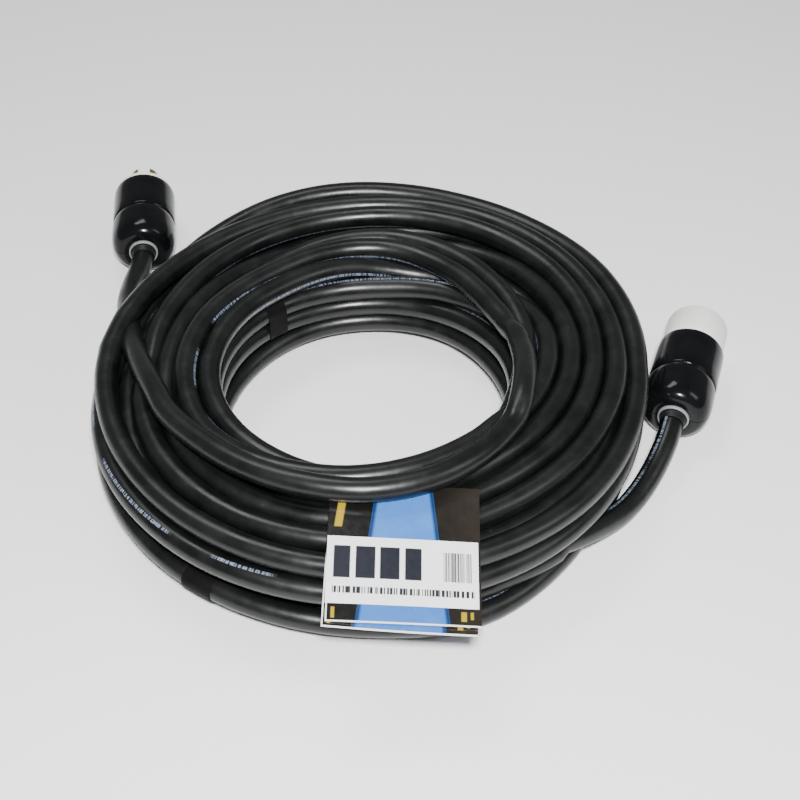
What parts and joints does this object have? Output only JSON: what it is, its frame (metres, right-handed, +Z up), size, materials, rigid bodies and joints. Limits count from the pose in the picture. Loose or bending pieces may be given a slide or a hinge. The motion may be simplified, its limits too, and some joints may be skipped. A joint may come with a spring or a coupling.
{
  "type": "shore power cord",
  "caption": "Coiled heavy round power cord with a five-wire locking plug at one end, a locking connector at the other, and a folded hang tag.",
  "frame": {"origin": "on the floor, under the middle of the box of the plug, the connector and the tag", "axes": "+Z is up from the floor; +Y is away from the tag, the way the plug points to within 6 degrees; +X is to the right, towards the connector"},
  "size_m": [0.5302, 0.5589, 0.106],
  "materials": {
    "jacket_rubber": "satin black oil-resistant rubber jacket",
    "shell_nylon": "glossy black moulded nylon",
    "face_nylon": "white moulded nylon",
    "grommet_rubber": "grey moulded rubber",
    "brass": "plain stamped brass",
    "steel": "zinc plated",
    "tag_card": "glossy printed card, dark with a blue panel",
    "label_paper": "white sticky label with plain printed bars",
    "tape_vinyl": "black vinyl tape",
    "wire_black": "conductor insulation",
    "wire_red": "conductor insulation",
    "wire_blue": "conductor insulation",
    "wire_white": "conductor insulation",
    "wire_green": "conductor insulation"
  },
  "bodies": {
    "cord": {"cord_coil": "jacket_rubber", "cord_plug_tail": "jacket_rubber", "cord_connector_tail": "jacket_rubber", "plug_face": "face_nylon", "plug_blade_w": "brass", "plug_blade_x": "brass", "plug_blade_y": "brass", "plug_blade_z": "brass", "plug_ground_pin": "brass", "plug_shell": "shell_nylon", "plug_clamp_base": "shell_nylon", "plug_grommet": "grommet_rubber", "plug_face_screw_1": "steel", "plug_face_screw_2": "steel", "plug_terminal_screw_w": "brass", "plug_terminal_screw_x": "brass", "plug_terminal_screw_y": "brass", "plug_terminal_screw_z": "brass", "plug_terminal_screw_ground": "brass", "plug_wire_black": "wire_black", "plug_wire_red": "wire_red", "plug_wire_blue": "wire_blue", "plug_wire_white": "wire_white", "plug_wire_green": "wire_green", "connector_face": "face_nylon", "connector_body": "face_nylon", "connector_contact_w": "brass", "connector_contact_x": "brass", "connector_contact_y": "brass", "connector_contact_z": "brass", "connector_ground_sleeve": "brass", "connector_shell": "shell_nylon", "connector_clamp_base": "shell_nylon", "connector_grommet": "grommet_rubber", "connector_face_screw_1": "steel", "connector_face_screw_2": "steel", "connector_terminal_screw_w": "brass", "connector_terminal_screw_x": "brass", "connector_terminal_screw_y": "brass", "connector_terminal_screw_z": "brass", "connector_terminal_screw_ground": "brass", "connector_wire_black": "wire_black", "connector_wire_red": "wire_red", "connector_wire_blue": "wire_blue", "connector_wire_white": "wire_white", "connector_wire_green": "wire_green", "tag_back_leaf": "tag_card", "coil_tape_front": "tape_vinyl", "coil_tape_rear": "tape_vinyl"},
    "tag_leaf": {"tag_front_leaf": "tag_card", "tag_label": "label_paper"},
    "plug_jaw": {"plug_clamp_jaw": "shell_nylon"},
    "plug_screw_1": {"plug_clamp_screw_1": "steel"},
    "plug_screw_2": {"plug_clamp_screw_2": "steel"},
    "connector_jaw": {"connector_clamp_jaw": "shell_nylon"},
    "connector_screw_1": {"connector_clamp_screw_1": "steel"},
    "connector_screw_2": {"connector_clamp_screw_2": "steel"}
  },
  "joints": [
    {"name": "tag_fold", "type": "hinge", "parent": "cord", "child": "tag_leaf", "pos_m": [-0.0029, -0.1655, 0.0945], "axis": [-0.9969, 0, 0.0785], "range_deg": [0, 50]},
    {"name": "plug_screw_1_turn", "type": "hinge", "parent": "cord", "child": "plug_screw_1", "pos_m": [-0.25068, 0.18153, 0.0279], "axis": [0, 0, -1], "range_deg": [0, 1080]},
    {"name": "plug_screw_2_turn", "type": "hinge", "parent": "cord", "child": "plug_screw_2", "pos_m": [-0.21405, 0.18512, 0.0279], "axis": [0, 0, -1], "range_deg": [0, 1080]},
    {"name": "plug_jaw_lift", "type": "slide", "parent": "cord", "child": "plug_jaw", "axis": [0, 0, 1], "range_m": [0, 0.0024]},
    {"name": "connector_screw_1_turn", "type": "hinge", "parent": "cord", "child": "connector_screw_1", "pos_m": [0.19411, -0.01639, 0.0279], "axis": [0, 0, -1], "range_deg": [0, 1080]},
    {"name": "connector_screw_2_turn", "type": "hinge", "parent": "cord", "child": "connector_screw_2", "pos_m": [0.22922, -0.02739, 0.0279], "axis": [0, 0, -1], "range_deg": [0, 1080]},
    {"name": "connector_jaw_lift", "type": "slide", "parent": "cord", "child": "connector_jaw", "axis": [0, 0, 1], "range_m": [0, 0.0024]}
  ],
  "couplings": [
    {"joint": "plug_screw_1_turn", "follows": "plug_jaw_lift", "rad_per_m": 7850},
    {"joint": "plug_screw_2_turn", "follows": "plug_jaw_lift", "rad_per_m": 7850},
    {"joint": "connector_screw_1_turn", "follows": "connector_jaw_lift", "rad_per_m": 7850},
    {"joint": "connector_screw_2_turn", "follows": "connector_jaw_lift", "rad_per_m": 7850}
  ]
}
